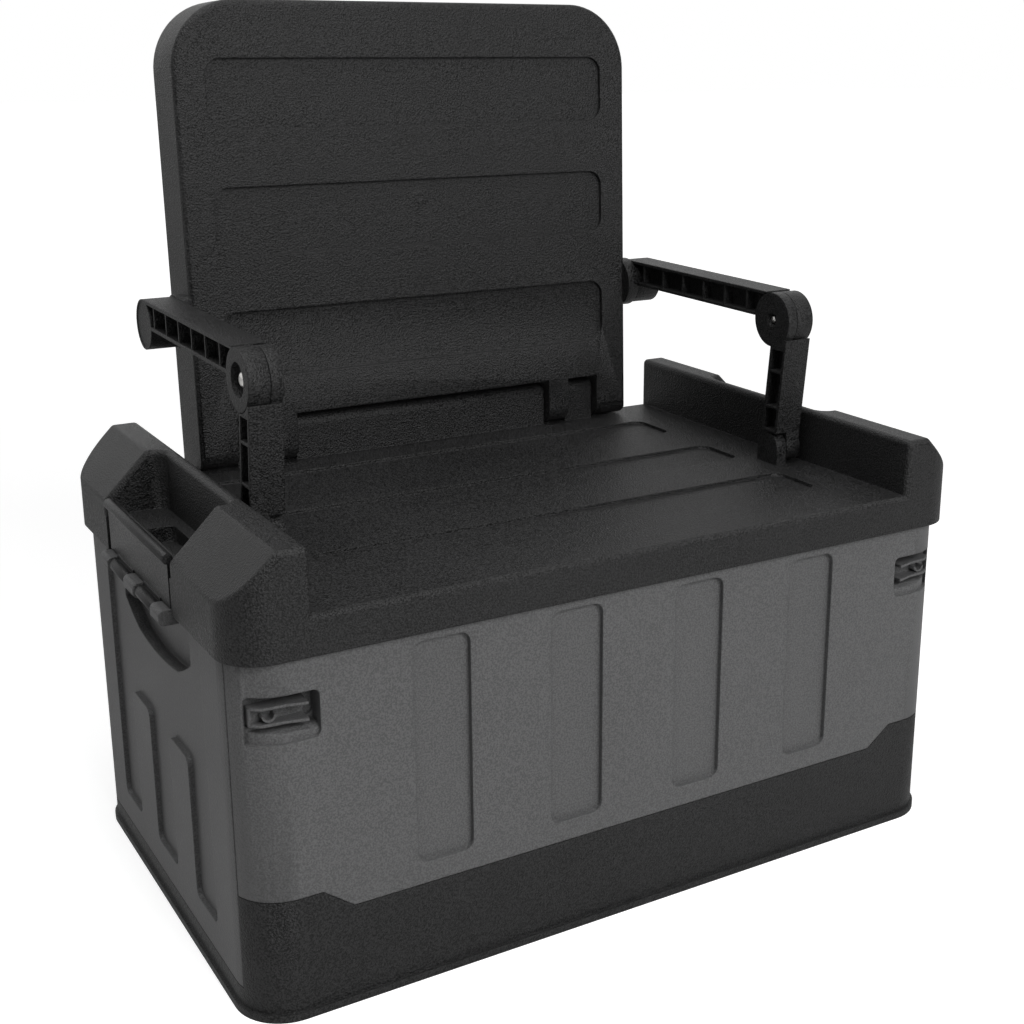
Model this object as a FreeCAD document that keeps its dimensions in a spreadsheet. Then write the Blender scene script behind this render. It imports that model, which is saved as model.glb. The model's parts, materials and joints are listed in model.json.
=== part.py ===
import FreeCAD, Part
import math
import os
import Sketcher

# Seat box of a bank angler: a folding crate of black and grey plastic with a lift-off seat lid,
# a backrest that folds forward and two armrests that ride on it as parallelograms.
# Frame: millimetres, +X along the length, +Y to the back where the backrest stands, +Z up,
# origin on the floor under the middle of the box. Left is -X, seen from the front.

doc = FreeCAD.newDocument("seat_box")
sheet = doc.addObject("Spreadsheet::Sheet", "Dim")
V = FreeCAD.Vector


class Q:
    """A size that carries its number and the sheet formula it comes from."""

    def __init__(self, number, formula=None):
        self.v = float(number)
        self.e = formula if formula is not None else "(%r)" % float(number)

    def __add__(self, o):
        o = q(o)
        return Q(self.v + o.v, "(%s + %s)" % (self.e, o.e))

    def __sub__(self, o):
        o = q(o)
        return Q(self.v - o.v, "(%s - %s)" % (self.e, o.e))

    def __mul__(self, o):
        o = q(o)
        return Q(self.v * o.v, "(%s * %s)" % (self.e, o.e))

    def __truediv__(self, o):
        o = q(o)
        return Q(self.v / o.v, "(%s / %s)" % (self.e, o.e))

    def __radd__(self, o):
        return q(o) + self

    def __rsub__(self, o):
        return q(o) - self

    def __rmul__(self, o):
        return q(o) * self

    def __neg__(self):
        return Q(-self.v, "(-%s)" % self.e)


def q(value):
    return value if isinstance(value, Q) else Q(value)


row = [0]


def dim(name, value, note):
    """One driving dimension: a row of the sheet with a name, a number and a note."""
    row[0] += 1
    sheet.set("A%d" % row[0], name)
    sheet.set("B%d" % row[0], str(value))
    sheet.set("C%d" % row[0], note)
    sheet.setAlias("B%d" % row[0], name)
    return Q(value, "Dim." + name)


def cosd(a):
    return Q(math.cos(math.radians(a.v)), "cos(%s)" % a.e)


def sind(a):
    return Q(math.sin(math.radians(a.v)), "sin(%s)" % a.e)


def root(a):
    return Q(math.sqrt(a.v), "sqrt(%s)" % a.e)


# The box
box_len = dim("box_len", 550, "outside length of the crate")
box_dep = dim("box_dep", 336, "outside depth of the crate")
corner_rad = dim("corner_rad", 32, "upright corners of base and panels")
skin = dim("skin", 3.5, "plastic skin")
lip_high = dim("lip_high", 5, "foot lip of the base")
lip_out = dim("lip_out", 2, "how far the foot lip stands out")
floor_top = dim("floor_top", 8, "top of the base floor")
end_wall = dim("end_wall", 18, "height of the base at the two ends")
long_wall = dim("long_wall", 67, "height of the base front and back")
post_high = dim("post_high", 82, "height of the base at its corners")
post_wide = dim("post_wide", 47, "width of the raised corner on the front face")
post_slope = dim("post_slope", 20, "run of the slope beside a raised corner")
seam_gap = dim("seam_gap", 0.5, "gap between neighbouring panels")
end_wide = dim("end_wide", 290, "width of an end panel")
flange = dim("flange", 15, "depth of the panels' inner flanges")
rod_rad = dim("rod_rad", 3, "hinge rods of the long panels")
end_rod_rad = dim("end_rod_rad", 2.5, "hinge rods of the end panels")
lug_pitch = dim("lug_pitch", 90, "spacing of the hinge lugs on front and back")
run_gap = dim("run_gap", 0.06, "running clearance of a pin, on the radius")

# The panels' relief
rib_depth = dim("rib_depth", 3.5, "depth of the sunk ribs")
rib_wide = dim("rib_wide", 39, "width of a sunk rib on the long panels")
rib_pitch = dim("rib_pitch", 96.5, "spacing of the four sunk ribs")
rib_low = dim("rib_low", 82, "lower end of the sunk ribs")
rib_high = dim("rib_high", 231, "upper end of the sunk ribs")
field_half = dim("field_half", 104, "half width of the sunk field on an end panel")
field_low = dim("field_low", 40, "lower end of that field")
field_rib = dim("field_rib", 40, "width of a raised rib in that field")
field_rib_top = dim("field_rib_top", 138, "top of the raised ribs")
grip_half = dim("grip_half", 73, "half width of the hand recess")
grip_low = dim("grip_low", 187, "lowest point of the hand recess")
grip_deep = dim("grip_deep", 12, "depth of the hand recess")

# The lid, which is the seat
skirt_low = dim("skirt_low", 237.4, "lower edge of the lid skirt")
lid_over = dim("lid_over", 3.8, "how far the skirt stands out over the crate")
lid_rad = dim("lid_rad", 28, "upright corners of the lid")
seat_top = dim("seat_top", 263, "seat surface")
deck_under = dim("deck_under", 258, "underside of the seat plate")
wall_top = dim("wall_top", 304, "top of the end walls")
seat_half = dim("seat_half", 228, "half length of the seat between the end walls")
ridge_half = dim("ridge_half", 247.5, "outer edge of the flat on the end walls")
notch_mid = dim("notch_mid", 7, "middle of the clasp and its pocket, across the box")
notch_half = dim("notch_half", 73, "half width of the pocket in an end wall")
pocket_in = dim("pocket_in", 236.5, "inner side of the pocket")
rim_out = dim("rim_out", 273, "outer side of the rim that the clasp covers")
rim_thick = dim("rim_thick", 3.5, "thickness of that rim")
rim_top = dim("rim_top", 270, "top of that rim")
well_half = dim("well_half", 30, "half width of the finger well")
well_deep = dim("well_deep", 11, "depth of the finger well")
brim_rad = dim("brim_rad", 4, "rounding of the edges of seat, end walls and pockets")
band_half = dim("band_half", 190, "half length of the sunk seat bands")
band_wide = dim("band_wide", 46, "width of a seat band")
band_pitch = dim("band_pitch", 94.5, "spacing of the seat bands")
band_deep = dim("band_deep", 2.5, "depth of a seat band")

# The backrest and its hinge
hinge_back = dim("hinge_back", 156, "hinge axis of the backrest, behind the middle")
hinge_up = dim("hinge_up", 279, "hinge axis of the backrest, above the floor")
lean = dim("lean", 1.84, "backward lean of the backrest, degrees")
back_half = dim("back_half", 190, "half width of the backrest")
back_top = dim("back_top", 328, "top of the backrest above its hinge axis")
back_front = dim("back_front", 15, "front face ahead of the hinge axis")
back_deep = dim("back_deep", 48, "thickness of the backrest")
back_rad = dim("back_rad", 50, "upper corners of the backrest")
back_skin = dim("back_skin", 6.5, "front skin of the backrest")
panel_low = dim("panel_low", 53.6, "lowest sunk panel of the backrest above the hinge axis")
panel_high = dim("panel_high", 50.5, "height of a sunk panel")
panel_pitch = dim("panel_pitch", 91.5, "spacing of the sunk panels")
cut_half = dim("cut_half", 113, "half width of the middle cut-out")
cut_high = dim("cut_high", 22.6, "top of the cut-outs above the hinge axis")
knuckle = dim("knuckle", 19, "width of the knuckle beside the middle cut-out")
small_cut = dim("small_cut", 28.5, "width of a small cut-out")
house_top = dim("house_top", 298, "top of the hinge housings")
house_front = dim("house_front", 149, "front of the hinge housings")
hinge_pin = dim("hinge_pin", 3, "radius of the backrest's hinge pins")

# The armrests: hinge, lower pivot, elbow and upper pivot make a parallelogram
pivot_front = dim("pivot_front", 46, "lower pivot and elbow ahead of the middle")
pivot_up = dim("pivot_up", 275.5, "lower pivot above the floor")
link_long = dim("link_long", 100, "lower pivot to elbow, and hinge to upper pivot")
arm_in = dim("arm_in", 199, "inner face of the armrests")
arm_out = dim("arm_out", 222, "outer face of the armrests")
arm_lap = dim("arm_lap", 207.6, "plane where arm and link lap at the elbow")
elbow_rad = dim("elbow_rad", 20.5, "elbow discs")
hub_rad = dim("hub_rad", 18.5, "rear hub of the arm")
beam_deep = dim("beam_deep", 20, "depth of the arm beam")
web = dim("web", 6, "thickness of the web in arm and link")
rib_step = dim("rib_step", 28.6, "spacing of the cross ribs in an arm")
lean_y = dim("link_lean", 7.5, "forward shift of the link body at its top")
link_deep = dim("link_deep", 17.8, "depth of the link body")
stub_rad = dim("stub_rad", 12, "lower pivot stubs")
stub_wide = dim("stub_wide", 9.2, "width of a lower pivot stub")

# Clasps and latches
clasp_out = dim("clasp_out", 281, "clasp hinge axis, from the middle of the box")
clasp_up = dim("clasp_up", 234.5, "clasp hinge axis, above the floor")
clasp_half = dim("clasp_half", 68, "half width of a clasp")
clasp_rad = dim("clasp_rad", 5, "clasp hinge knuckles")
clasp_pin = dim("clasp_pin", 2, "radius of the clasp pins")
latch_out = dim("latch_out", 267.5, "outer end of a latch recess")
latch_in = dim("latch_in", 224.5, "inner end of a latch recess")
latch_low = dim("latch_low", 185, "lower edge of a latch recess")
latch_high = dim("latch_high", 215.5, "upper edge of a latch recess")
latch_deep = dim("latch_deep", 15.5, "depth of a latch recess")
latch_scoop = dim("latch_scoop", 2.5, "depth of the finger scoop below a latch")
latch_move = dim("latch_move", 5, "travel of a latch")
doc.recompute()

hx = box_len / 2
hy = box_dep / 2
c = notch_mid
pin_half = clasp_half - 4
bolt_low = latch_low + 13
bolt_high = bolt_low + 8


# Sketching

def rect(a0, a1, b0, b1, r=None):
    """A rectangle, its corners rounded if a radius is given."""
    a0, a1, b0, b1 = q(a0), q(a1), q(b0), q(b1)
    if a0.v > a1.v:
        a0, a1 = a1, a0
    if b0.v > b1.v:
        b0, b1 = b1, b0
    if r is None:
        return [(a0, b0), (a1, b0), (a1, b1), (a0, b1)]
    return [(a0, b0, q(r)), (a1, b0, q(r)), (a1, b1, q(r)), (a0, b1, q(r))]


def circle(a, b, r):
    return ("circle", q(a), q(b), q(r))


def expand(loop):
    """Corner points with a radius become two tangent points and an arc between them;
    a half circle becomes two quarters."""
    out = []
    n = len(loop)
    for i, p in enumerate(loop):
        x, y = q(p[0]), q(p[1])
        if len(p) == 3:
            r = q(p[2])
            before, after = loop[i - 1], loop[(i + 1) % n]
            ax, ay = q(before[0]).v - x.v, q(before[1]).v - y.v
            bx, by = q(after[0]).v - x.v, q(after[1]).v - y.v
            step = lambda d, big: Q(0) if abs(d) < abs(big) else (r if d > 0 else -r)
            out.append((x + step(ax, ay), y + step(ay, ax), "arc", r, ax * by - ay * bx < 0))
            out.append((x + step(bx, by), y + step(by, bx), "line", None, None))
        elif len(p) == 5:
            ccw, r = p[4] == "ccw", q(p[3])
            out.append((x, y, "arc", r, ccw))
            ex, ey = q(loop[(i + 1) % n][0]), q(loop[(i + 1) % n][1])
            if abs(math.hypot(ex.v - x.v, ey.v - y.v) - 2 * r.v) < 0.01:
                side = 1 if ccw else -1
                out.append(((x + ex) / 2 + (ey - y) * (side / 2), (y + ey) / 2 - (ex - x) * (side / 2),
                            "arc", r, ccw))
        else:
            out.append((x, y, "line", None, None))
    return out


def draw(sk, loops):
    """Adds closed loops to a sketch, every point bound to the sheet."""
    geo, rules, bound = [], [], []

    def pin_down(kind, g, pos, value):
        axis = -2 if kind == "DistanceX" else -1
        if abs(value.v) < 1e-9:
            rules.append(Sketcher.Constraint("PointOnObject", g, pos, axis))
        else:
            bound.append((len(rules), value))
            rules.append(Sketcher.Constraint(kind, g, pos, value.v))

    for loop in loops:
        g0 = len(geo)
        if loop[0] == "circle":
            _, x, y, r = loop
            geo.append(Part.Circle(V(x.v, y.v, 0), V(0, 0, 1), r.v))
            pin_down("DistanceX", g0, 3, x)
            pin_down("DistanceY", g0, 3, y)
            bound.append((len(rules), r))
            rules.append(Sketcher.Constraint("Radius", g0, r.v))
            continue
        pts = expand(loop)
        ends = []
        for i, (x, y, kind, r, ccw) in enumerate(pts):
            nx, ny = pts[(i + 1) % len(pts)][:2]
            g = len(geo)
            if kind == "line":
                geo.append(Part.LineSegment(V(x.v, y.v, 0), V(nx.v, ny.v, 0)))
                ends.append((g, 1, 2))
                continue
            mx, my = (x.v + nx.v) / 2, (y.v + ny.v) / 2
            dx, dy = nx.v - x.v, ny.v - y.v
            half = math.hypot(dx, dy) / 2
            rise = math.sqrt(max(r.v * r.v - half * half, 0)) / (2 * half)
            s = 1 if ccw else -1
            cx, cy = mx - s * dy * rise, my + s * dx * rise
            a0, a1 = math.atan2(y.v - cy, x.v - cx), math.atan2(ny.v - cy, nx.v - cx)
            if not ccw:
                a0, a1 = a1, a0
            if a1 < a0:
                a1 += 2 * math.pi
            geo.append(Part.ArcOfCircle(Part.Circle(V(cx, cy, 0), V(0, 0, 1), r.v), a0, a1))
            ends.append((g, 1, 2) if ccw else (g, 2, 1))
            bound.append((len(rules), r))
            rules.append(Sketcher.Constraint("Radius", g, r.v))
        for i, (g, start, end) in enumerate(ends):
            g2, start2, _ = ends[(i + 1) % len(ends)]
            rules.append(Sketcher.Constraint("Coincident", g, end, g2, start2))
            pin_down("DistanceX", g, start, pts[i][0])
            pin_down("DistanceY", g, start, pts[i][1])
    sk.addGeometry(geo, False)
    sk.addConstraint(rules)
    for index, value in bound:
        if "Dim." in value.e:
            sk.setExpression("Constraints[%d]" % index, value.e)


def small_groups(loops):
    """Sketches stay quick to solve with few lines, so many loops are spread over several."""
    groups, size = [], 99
    for loop in loops:
        count = 1 if loop[0] == "circle" else len(expand(loop))
        if size + count > 16:
            groups.append([])
            size = 0
        groups[-1].append(loop)
        size += count
    return groups


ROLE = {"z": "XY_Plane", "y": "XZ_Plane", "x": "YZ_Plane"}


class Piece:
    """A sub-part built as a body of sketches, pads and pockets.

    add and cut take the direction of the pad or pocket, where it starts and ends along
    that direction, and the closed loops of its sketch: (x, y) for z, (x, z) for y, (y, z) for x.
    """

    def __init__(self, label):
        self.label = label
        self.body = doc.addObject("PartDesign::Body", label)
        self.body.Label = label
        self.count = 0
        self.solid = 0

    def plane(self, role):
        return [f for f in self.body.Origin.OriginFeatures if f.Role == role][0]

    def sketch(self, axis, at, loops):
        self.count += 1
        sk = self.body.newObject("Sketcher::SketchObject", "%s_s%d" % (self.label, self.count))
        sk.AttachmentSupport = (self.plane(ROLE[axis]), [""])
        sk.MapMode = "FlatFace"
        off = -at if axis == "y" else at
        sk.AttachmentOffset = FreeCAD.Placement(V(0, 0, off.v), FreeCAD.Rotation())
        sk.setExpression("AttachmentOffset.Base.z", off.e)
        draw(sk, loops)
        return sk

    def volume(self):
        doc.recompute()
        shape = self.body.Shape
        return 0 if shape.isNull() else shape.Volume

    def feature(self, kind, axis, at, loops, length):
        before = self.solid
        sk = self.sketch(axis, at, loops)
        f = self.body.newObject("PartDesign::" + kind, "%s_f%d" % (self.label, self.count))
        f.Profile = sk
        f.Refine = False
        f.Type = "Length"
        f.Length = length.v
        f.setExpression("Length", length.e)
        self.solid = self.volume()
        grew = self.solid - before
        if not f.isValid() or (kind == "Pad" and grew <= 0) or (kind == "Pocket" and grew >= 0):
            raise RuntimeError("%s: %s %d changed the volume by %.3f" % (self.label, kind, self.count, grew))
        return f

    def add(self, axis, lo, hi, *loops):
        lo, hi = (q(lo), q(hi)) if q(lo).v < q(hi).v else (q(hi), q(lo))
        for some in small_groups(loops):
            f = self.feature("Pad", axis, hi if axis == "y" else lo, some, hi - lo)
        return f

    def cut(self, axis, lo, hi, *loops):
        lo, hi = (q(lo), q(hi)) if q(lo).v < q(hi).v else (q(hi), q(lo))
        for some in small_groups(loops):
            f = self.feature("Pocket", axis, lo if axis == "y" else hi, some, hi - lo)
        return f

    def repeat(self, feature, axis, pitch, times):
        """The feature again and again along the origin's X, Y or Z axis."""
        lp = self.body.newObject("PartDesign::LinearPattern", "%s_row" % feature.Name)
        lp.Originals = [feature]
        lp.Refine = False
        line = [f for f in self.body.Origin.OriginFeatures if f.Role == axis + "_Axis"][0]
        lp.Direction = (line, [""])
        lp.Length = pitch.v * (times - 1)
        lp.setExpression("Length", (pitch * (times - 1)).e)
        lp.Occurrences = times
        self.body.Tip = lp
        self.solid = self.volume()
        return lp

    def round(self, radius, pick):
        """Rounds the edges of the body so far that pick() chooses."""
        tip = self.body.Tip
        names = ["Edge%d" % (i + 1) for i, e in enumerate(tip.Shape.Edges) if pick(e)]
        if not names:
            raise RuntimeError(self.label + ": no edge to round")
        f = self.body.newObject("PartDesign::Fillet", "%s_r%d" % (self.label, self.count))
        f.Base = (tip, names)
        f.Refine = False
        radius = q(radius)
        f.Radius = radius.v
        f.setExpression("Radius", radius.e)
        self.body.Tip = f
        self.solid = self.volume()
        if not f.isValid() or f.Shape.isNull():
            raise RuntimeError("%s: fillet %.2f on %s failed" % (self.label, radius.v, names))
        return f


def mid(e):
    return e.valueAt((e.FirstParameter + e.LastParameter) / 2)


def outline(grow, r):
    return rect(-(hx + grow), hx + grow, -(hy + grow), hy + grow, r)


both = (-1, 1)

# Base tray: floor with a grid of ribs under it, low end walls, high front and back walls with
# raised rounded corners, and lugs inside for the rods that the panels fold on.
base = Piece("base_tray")
base.add("z", 0, lip_high, outline(lip_out, corner_rad + lip_out))
base.add("z", lip_high, post_high, outline(q(0), corner_rad))
base.cut("z", floor_top, post_high, outline(-(skin + 0.5), corner_rad - skin - 0.5))
slope_in = hx - post_wide
base.cut("y", -hy - 3, hy + 3, [(slope_in - post_slope, long_wall), (slope_in, post_high + 0.1),
                                (-slope_in, post_high + 0.1), (-(slope_in - post_slope), long_wall)])
base.cut("x", -hx - 3, hx + 3, rect(-end_wide / 2, end_wide / 2, end_wall, post_high + 1))
cols, rows = 6, 4
cell_x = (box_len - 24) / cols
cell_y = (box_dep - 24) / rows
for j in range(rows):
    cell = base.cut("z", 0, floor_top - skin, rect(
        -hx + 13.5, -hx + 10.5 + cell_x, -hy + 13.5 + cell_y * j, -hy + 10.5 + cell_y * (j + 1)))
    base.repeat(cell, "X", cell_x, cols)
rod_in = hy - 10
rod_up = long_wall - 7
lug_x = [lug_pitch * (k - 2.5) for k in range(6)]
for s in both:
    lug = base.add("z", rod_up - 16, long_wall - 1, rect(
        lug_x[0] - 6, lug_x[0] + 6, s * (hy - skin), s * (rod_in - 6)))
    base.repeat(lug, "X", lug_pitch, 6)
base.cut("x", -lug_x[0] + 7, lug_x[0] - 7, *[circle(s * rod_in, rod_up, rod_rad) for s in both])
end_rod_in = hx - 10
end_rod_up = floor_top + 6
end_lug_y = [q(-100), q(0), q(100)]
base.add("z", floor_top - 0.5, end_wall, *[
    rect(s * (hx - skin), s * (end_rod_in - 5), y - 6, y + 6) for y in end_lug_y for s in both])
base.cut("y", -108, 108, *[circle(s * end_rod_in, end_rod_up, end_rod_rad) for s in both])

# Long panels: front and back, wrapping round the upright corners of the crate, with four sunk ribs,
# two latch recesses and a row of hinge tabs on their lower edge.
panel_top = deck_under
seam = end_wide / 2


def sides(s, a, b):
    return (a, b) if s > 0 else (-b, -a)


def long_panel(label, s):
    p = Piece(label)
    low = long_wall + seam_gap
    p.add("z", low, panel_top, outline(q(0), corner_rad))
    inner = outline(-skin, corner_rad - skin)
    deep = hy - flange
    shelf = rect(-(hx - skin), hx - skin, -deep, deep)
    box_in = hy - latch_deep - 2.2
    p.cut("z", low, low + 3, shelf)
    p.cut("z", low + 3, latch_low - 3, inner)
    side = hx - 8
    wide = latch_in - 3
    p.cut("z", latch_low - 3, latch_high + 3, [
        (-side, -box_in), (-wide, -box_in), (-wide, -hy + skin), (wide, -hy + skin), (wide, -box_in),
        (side, -box_in), (side, box_in), (wide, box_in), (wide, hy - skin), (-wide, hy - skin),
        (-wide, box_in), (-side, box_in)])
    p.cut("z", latch_high + 3, panel_top - 3, inner)
    p.cut("z", panel_top - 3, panel_top, shelf)
    # the corner posts of the base stand under the raised parts of the lower edge
    step = post_high + seam_gap
    p.cut("y", -hy - 3, hy + 3, *[
        [(k * (hx + 3), low - 1), (k * (hx + 3), step), (k * slope_in, step),
         (k * (slope_in - post_slope), low), (k * (slope_in - post_slope), low - 1)] for k in both])
    # only the side at the front or the back stays
    keep = seam + seam_gap
    p.cut("z", low - 1, panel_top + 1, rect(-hx - 3, hx + 3, s * keep, -s * (hy + 3)))
    # inner ends of the wrapped corners
    a, b = sides(s, keep, keep + 3)
    p.add("z", step, panel_top, *[rect(k * (hx - 5), k * (hx - flange), a, b) for k in both])
    # sunk ribs, each with a thicker skin behind it
    ribs = [rib_pitch * (i - 1.5) for i in range(4)]
    half = rib_wide / 2
    a, b = sides(s, hy - skin - rib_depth, hy - skin + 0.5)
    p.add("y", a, b, *[rect(x - half - 3, x + half + 3, rib_low - 3, rib_high + 3, 9) for x in ribs])
    a, b = sides(s, hy - rib_depth, hy + 1)
    p.cut("y", a, b, *[rect(x - half, x + half, rib_low, rib_high, 7) for x in ribs])
    # latch recesses: below each a shallow scoop for the finger that follows the corner, above it
    # the upright floor with the slot of the bolt
    ledge = latch_low + 10
    bend = corner_rad - latch_scoop
    past = latch_out - (hx - corner_rad)
    scoop_end = hy - corner_rad + root(bend * bend - past * past)
    for k in both:
        p.cut("z", latch_low, ledge + 4, [
            (k * latch_in, s * (hy + 3)), (k * latch_in, s * (hy - latch_scoop)),
            (k * (hx - corner_rad), s * (hy - latch_scoop), "arc", bend, "cw" if k * s > 0 else "ccw"),
            (k * latch_out, s * scoop_end), (k * latch_out, s * (hy + 3))])
    p.round(5, lambda e: e.BoundBox.YLength > 1 and abs(abs(mid(e).x) - latch_in.v) < 0.01
            and abs(mid(e).z - latch_low.v) < 0.01)
    a, b = sides(s, hy - latch_deep, hy + 6)
    p.cut("y", a, b, *[rect(k * latch_in, k * latch_out, ledge, latch_high, 4) for k in both])
    for k in both:
        p.cut("x", k * latch_in, k * latch_out, [
            (s * (hy + 8), latch_low + 5.2), (s * (hy - latch_scoop), latch_low + 5.2),
            (s * (hy - 6.5), latch_low + 7), (s * (hy - latch_deep + 2.5), latch_low + 7.5),
            (s * (hy - latch_deep + 2.5), ledge + 4.1), (s * (hy + 8), ledge + 4.1)])
    a, b = sides(s, hy - latch_deep - 3, hy - latch_deep + 1)
    p.cut("y", a, b, *[
        rect(k * (latch_out - 30.5), k * (latch_out - 12.5), bolt_low - 1, bolt_high + 1) for k in both])
    # hinge tabs
    tab = p.add("x", lug_pitch * (-2) - 30, lug_pitch * (-2) + 30, [
        (s * (rod_in + 5.3), low + 1), (s * (rod_in + 5.3), rod_up, "arc", q(5.3), "cw" if s > 0 else "ccw"),
        (s * (rod_in - 5.3), rod_up), (s * (rod_in - 5.3), low + 1)])
    p.repeat(tab, "X", lug_pitch, 5)
    p.cut("x", lug_pitch * (-2) - 31, lug_pitch * 2 + 31, circle(s * rod_in, rod_up, rod_rad + run_gap))
    return p


front = long_panel("front_panel", -1)


def end_panel(label, s):
    p = Piece(label)
    low = end_wall + seam_gap
    p.add("z", low, panel_top, outline(q(0), corner_rad))
    thick = skin * 2
    deep = hx - flange
    edge = seam - 3
    p.cut("z", low, panel_top, rect(-s * (hx + 3), s * deep, -hy - 3, hy + 3))
    a = s * (hx - thick)
    p.cut("z", low + 3, panel_top - 3, rect(a, s * (deep - 1), -edge, edge))
    side = seam - seam_gap
    p.cut("z", low, panel_top, *[rect(s * (deep - 3), s * (hx + 3), k * side, k * (hy + 3)) for k in both])
    # boss behind the hand recess, then the opening for the lid's pocket above it
    notch_low = skirt_low - 1
    p.add("x", s * (hx - thick + 0.5), s * (hx - grip_deep - 3),
          rect(-grip_half - 3, grip_half + 3, grip_low - 3, notch_low, 12))
    p.cut("x", s * (hx - flange - 2), s * (hx + 3),
          rect(c - notch_half - 4, c + notch_half + 4, notch_low, panel_top + 2))
    # sunk field with two raised ribs standing up in it
    g, w, t = q(22.5), field_rib, field_rib_top
    f, z0, z1 = field_half, field_low, skirt_low - 5
    p.cut("x", s * (hx - rib_depth), s * (hx + 1), [
        (-f, z0, 6), (-g - w, z0, 6), (-g - w, t, 6), (-g, t, 6), (-g, z0, 6), (g, z0, 6),
        (g, t, 6), (g + w, t, 6), (g + w, z0, 6), (f, z0, 6), (f, z1, 6), (-f, z1, 6)])
    # hand recess, a D lying on its straight side
    d = grip_half
    p.cut("x", s * (hx - grip_deep), s * (hx + 1), [
        (-d, z1), (-d, grip_low + 18, "arc", q(150), "ccw"), (-d + 30, grip_low + 3, "arc", q(260), "ccw"),
        (d - 30, grip_low + 3, "arc", q(150), "ccw"), (d, grip_low + 18), (d, z1)])
    # clasp knuckles
    for y0, y1 in ((49.7, 68), (-11, 11), (-68, -49.7)):
        k, r = hx - rib_depth - 1, clasp_rad
        p.add("y", c + y0, c + y1, [
            (s * k, clasp_up + r), (s * k, clasp_up - r), (s * (clasp_out + r), clasp_up - r, 3.5),
            (s * (clasp_out + r), clasp_up + r, 3.5)])
    p.cut("y", c - pin_half, c + pin_half, circle(s * clasp_out, clasp_up, clasp_pin))
    # keepers for the latch bolts
    keep_x = hx - flange + 1.5
    p.add("x", s * keep_x, s * (keep_x - 2.5), *[
        rect(k * (seam - 0.5), k * (seam - 13), bolt_low - 10, bolt_high + 10) for k in both])
    p.cut("x", s * (keep_x + 1), s * (keep_x - 4), *[
        rect(k * (seam - 4.4), k * (seam - 11.6), bolt_low - 2, bolt_high + 2) for k in both])
    # hinge tabs between the lugs of the base
    for y in (-50, 50):
        p.add("y", y - 34, y + 34, [
            (s * (end_rod_in + 4.6), low + 1),
            (s * (end_rod_in + 4.6), end_rod_up, "arc", q(4.6), "ccw" if s < 0 else "cw"),
            (s * (end_rod_in - 4.6), end_rod_up), (s * (end_rod_in - 4.6), low + 1)])
    p.cut("y", -90, 90, circle(s * end_rod_in, end_rod_up, end_rod_rad + run_gap))
    return p


left_end = end_panel("left_end_panel", -1)

# Lid: skirt, seat with three sunk bands, end walls with two chamfered blocks each, a hand pocket
# and finger well between them, hinge housings at the back and a stub for each armrest link.
lid = Piece("lid")
lid.add("z", skirt_low, wall_top, outline(lid_over, lid_rad))
lid.cut("z", seat_top, wall_top + 1, rect(-seat_half, seat_half, -hy - 9, hy + 9))
edge_x = hx + 9
lid.cut("y", -hy - 9, hy + 9, *[
    [(k * ridge_half, wall_top), (k * edge_x, wall_top - (edge_x - ridge_half)), (k * edge_x, wall_top + 1),
     (k * ridge_half, wall_top + 1)] for k in both])
lid_y = hy + lid_over
for k in both:
    lid.cut("z", seat_top - 1, wall_top + 1, [
        (k * pocket_in, c - notch_half, 9), (k * edge_x, c - notch_half), (k * edge_x, c + notch_half),
        (k * pocket_in, c + notch_half, 9)] if k > 0 else [
        (k * edge_x, c - notch_half), (k * pocket_in, c - notch_half, 9), (k * pocket_in, c + notch_half, 9),
        (k * edge_x, c + notch_half)])


def brim(e):
    """The edges round the seat, the end walls and the pockets, which are all rounded alike."""
    b, m = e.BoundBox, mid(e)
    if b.ZMax < seat_top.v + 1:
        return abs(abs(m.y) - lid_y.v) < 0.01 and m.z > seat_top.v - 0.01
    if b.XLength < 0.01 and b.YLength < 0.01:
        outer = abs(abs(m.x) - hx.v - lid_over.v) < 0.01 and abs(m.y - c.v) < notch_half.v + 1
        return outer or abs(abs(m.x) - seat_half.v) < 0.01
    return True


lid.round(brim_rad, brim)
lid.cut("z", skirt_low - 1, seat_top, *[
    rect(k * rim_out, k * edge_x, c - notch_half, c + notch_half) for k in both])
cav = hx + 0.8
cav_y = hy + 0.8
rim_in = rim_out - rim_thick
lid.cut("z", skirt_low - 1, deck_under, [
    (-cav, -cav_y, 25), (cav, -cav_y, 25), (cav, c - notch_half - 3), (rim_in, c - notch_half - 3),
    (rim_in, c + notch_half + 3), (cav, c + notch_half + 3), (cav, cav_y, 25), (-cav, cav_y, 25),
    (-cav, c + notch_half + 3), (-rim_in, c + notch_half + 3), (-rim_in, c - notch_half - 3),
    (-cav, c - notch_half - 3)])
lid.add("z", seat_top - 2, rim_top, *[
    rect(k * rim_in, k * rim_out, c - notch_half - 0.5, c + notch_half + 0.5) for k in both])
lid.cut("z", skirt_low - 1, clasp_up + clasp_rad + 0.8, *[
    rect(k * (rim_in - 1), k * (rim_out + 1), c - notch_half, c + notch_half) for k in both])
# hollows inside the four blocks
for a, b in ((-hy + 12, c - notch_half - 3), (c + notch_half + 3, hy - 12)):
    lid.cut("y", a, b, *[
        [(k * (seat_half + 3), deck_under - 1), (k * (seat_half + 3), wall_top - 3),
         (k * (ridge_half - 1.3), wall_top - 3), (k * (hx - 7), wall_top - 3 - (hx - 7 - ridge_half + 1.3)),
         (k * (hx - 7), deck_under - 1)] for k in both])
# finger wells
well_top = seat_top - 1
lid.add("z", well_top - well_deep - 3, deck_under + 1, *[
    rect(k * (rim_in + 0.5), k * (pocket_in + 5), c - well_half - 3, c + well_half + 3) for k in both])
lid.cut("z", well_top - well_deep, well_top + 0.5, *[
    rect(k * rim_in, k * (pocket_in + 8), c - well_half, c + well_half, 6) for k in both])
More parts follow.
